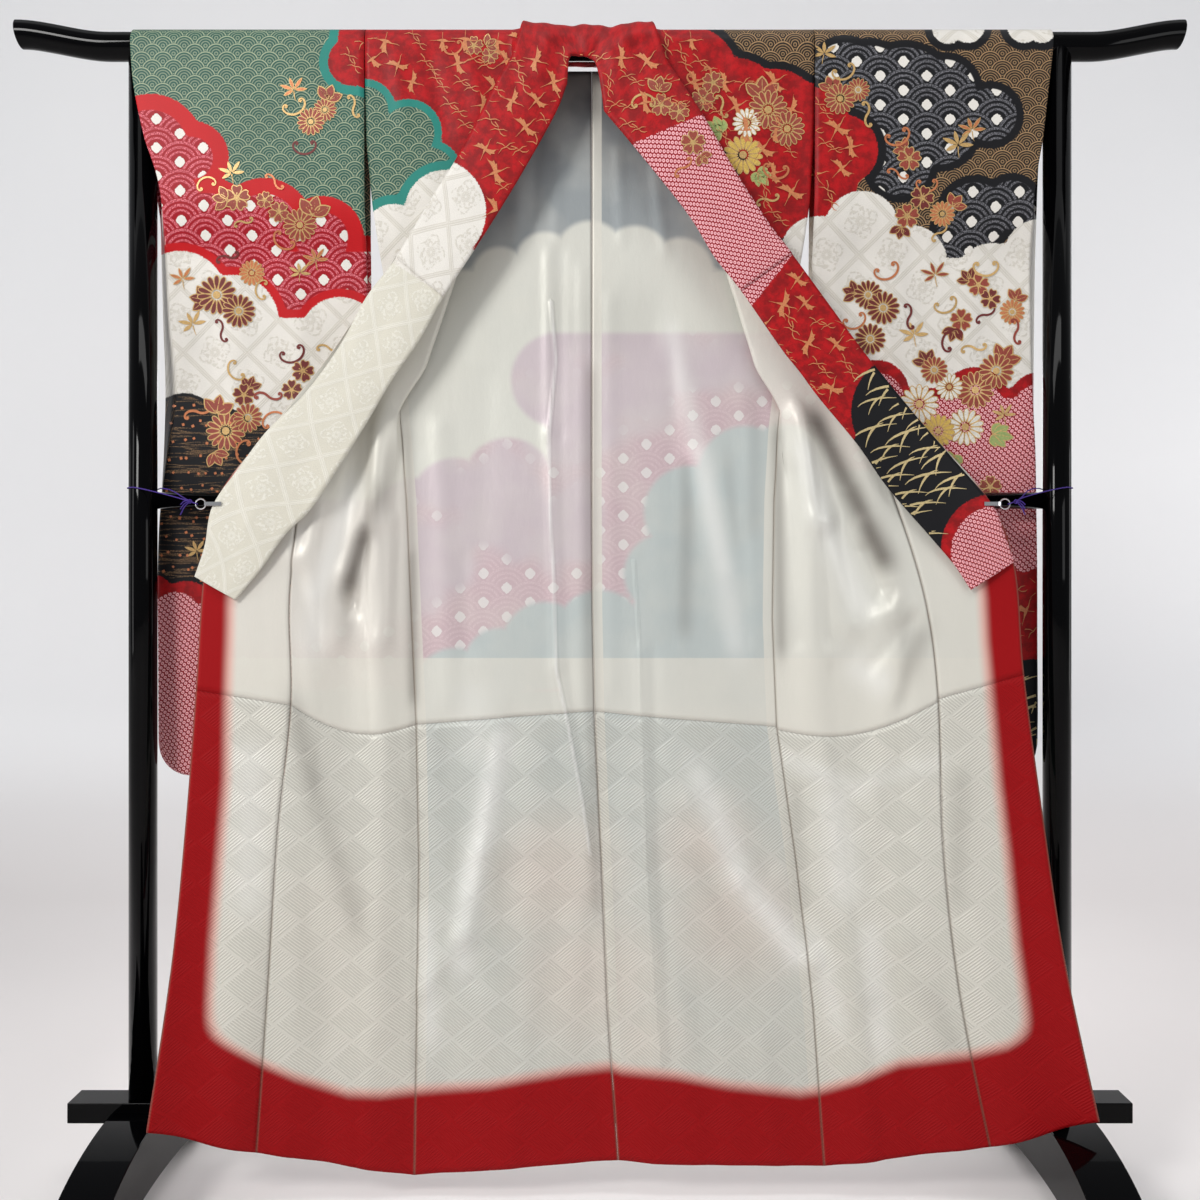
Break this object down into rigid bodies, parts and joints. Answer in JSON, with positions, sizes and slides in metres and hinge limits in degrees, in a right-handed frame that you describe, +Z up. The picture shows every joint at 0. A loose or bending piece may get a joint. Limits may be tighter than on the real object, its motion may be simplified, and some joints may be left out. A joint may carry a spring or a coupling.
{
  "type": "furisode on a kimono stand",
  "caption": "Long-sleeved formal kimono hung open over the bar of a black lacquered stand, lining to the front, fronts clipped back to the posts.",
  "frame": {"origin": "centre of the stand's footprint on the floor", "axes": "+Z up, +X to the wearer's left, -Y towards the open front of the garment"},
  "size_m": [1.694, 0.56, 1.6989],
  "materials": {
    "sleeve_right": "patterned silk",
    "sleeve_left": "patterned silk",
    "body_right": "patterned silk",
    "body_left": "patterned silk",
    "gore_right": "patterned silk",
    "gore_left": "patterned silk",
    "collar": "patterned silk",
    "collar_cover": "patterned silk",
    "lining_back_upper_right": "smooth silk",
    "lining_back_upper_left": "smooth silk",
    "lining_back_lower_right": "figured silk",
    "lining_back_lower_left": "figured silk",
    "lining_front_upper_right": "smooth silk",
    "lining_front_upper_left": "smooth silk",
    "lining_front_lower_right": "figured silk",
    "lining_front_lower_left": "figured silk",
    "lining_gore_upper_right": "smooth silk",
    "lining_gore_upper_left": "smooth silk",
    "lining_gore_lower_right": "figured silk",
    "lining_gore_lower_left": "figured silk",
    "top_bar": "black gloss lacquer",
    "post_right": "black gloss lacquer",
    "post_left": "black gloss lacquer",
    "mid_rail": "black gloss lacquer",
    "bottom_rail": "black gloss lacquer",
    "foot_right": "black gloss lacquer",
    "foot_left": "black gloss lacquer",
    "clip_right": "polished",
    "clip_left": "polished",
    "clip_ring_right": "polished",
    "clip_ring_left": "polished",
    "clip_cord_right": "twisted thread",
    "clip_cord_left": "twisted thread"
  },
  "bodies": {
    "root": {"sleeve_right": "sleeve_right", "sleeve_left": "sleeve_left", "body_right": "body_right", "body_left": "body_left", "gore_right": "gore_right", "gore_left": "gore_left", "collar": "collar", "collar_cover": "collar_cover", "lining_back_upper_right": "lining_back_upper_right", "lining_back_upper_left": "lining_back_upper_left", "lining_back_lower_right": "lining_back_lower_right", "lining_back_lower_left": "lining_back_lower_left", "lining_front_upper_right": "lining_front_upper_right", "lining_front_upper_left": "lining_front_upper_left", "lining_front_lower_right": "lining_front_lower_right", "lining_front_lower_left": "lining_front_lower_left", "lining_gore_upper_right": "lining_gore_upper_right", "lining_gore_upper_left": "lining_gore_upper_left", "lining_gore_lower_right": "lining_gore_lower_right", "lining_gore_lower_left": "lining_gore_lower_left", "top_bar": "top_bar", "post_right": "post_right", "post_left": "post_left", "mid_rail": "mid_rail", "bottom_rail": "bottom_rail", "foot_right": "foot_right", "foot_left": "foot_left", "clip_right": "clip_right", "clip_left": "clip_left", "clip_ring_right": "clip_ring_right", "clip_ring_left": "clip_ring_left", "clip_cord_right": "clip_cord_right", "clip_cord_left": "clip_cord_left"}
  },
  "joints": []
}
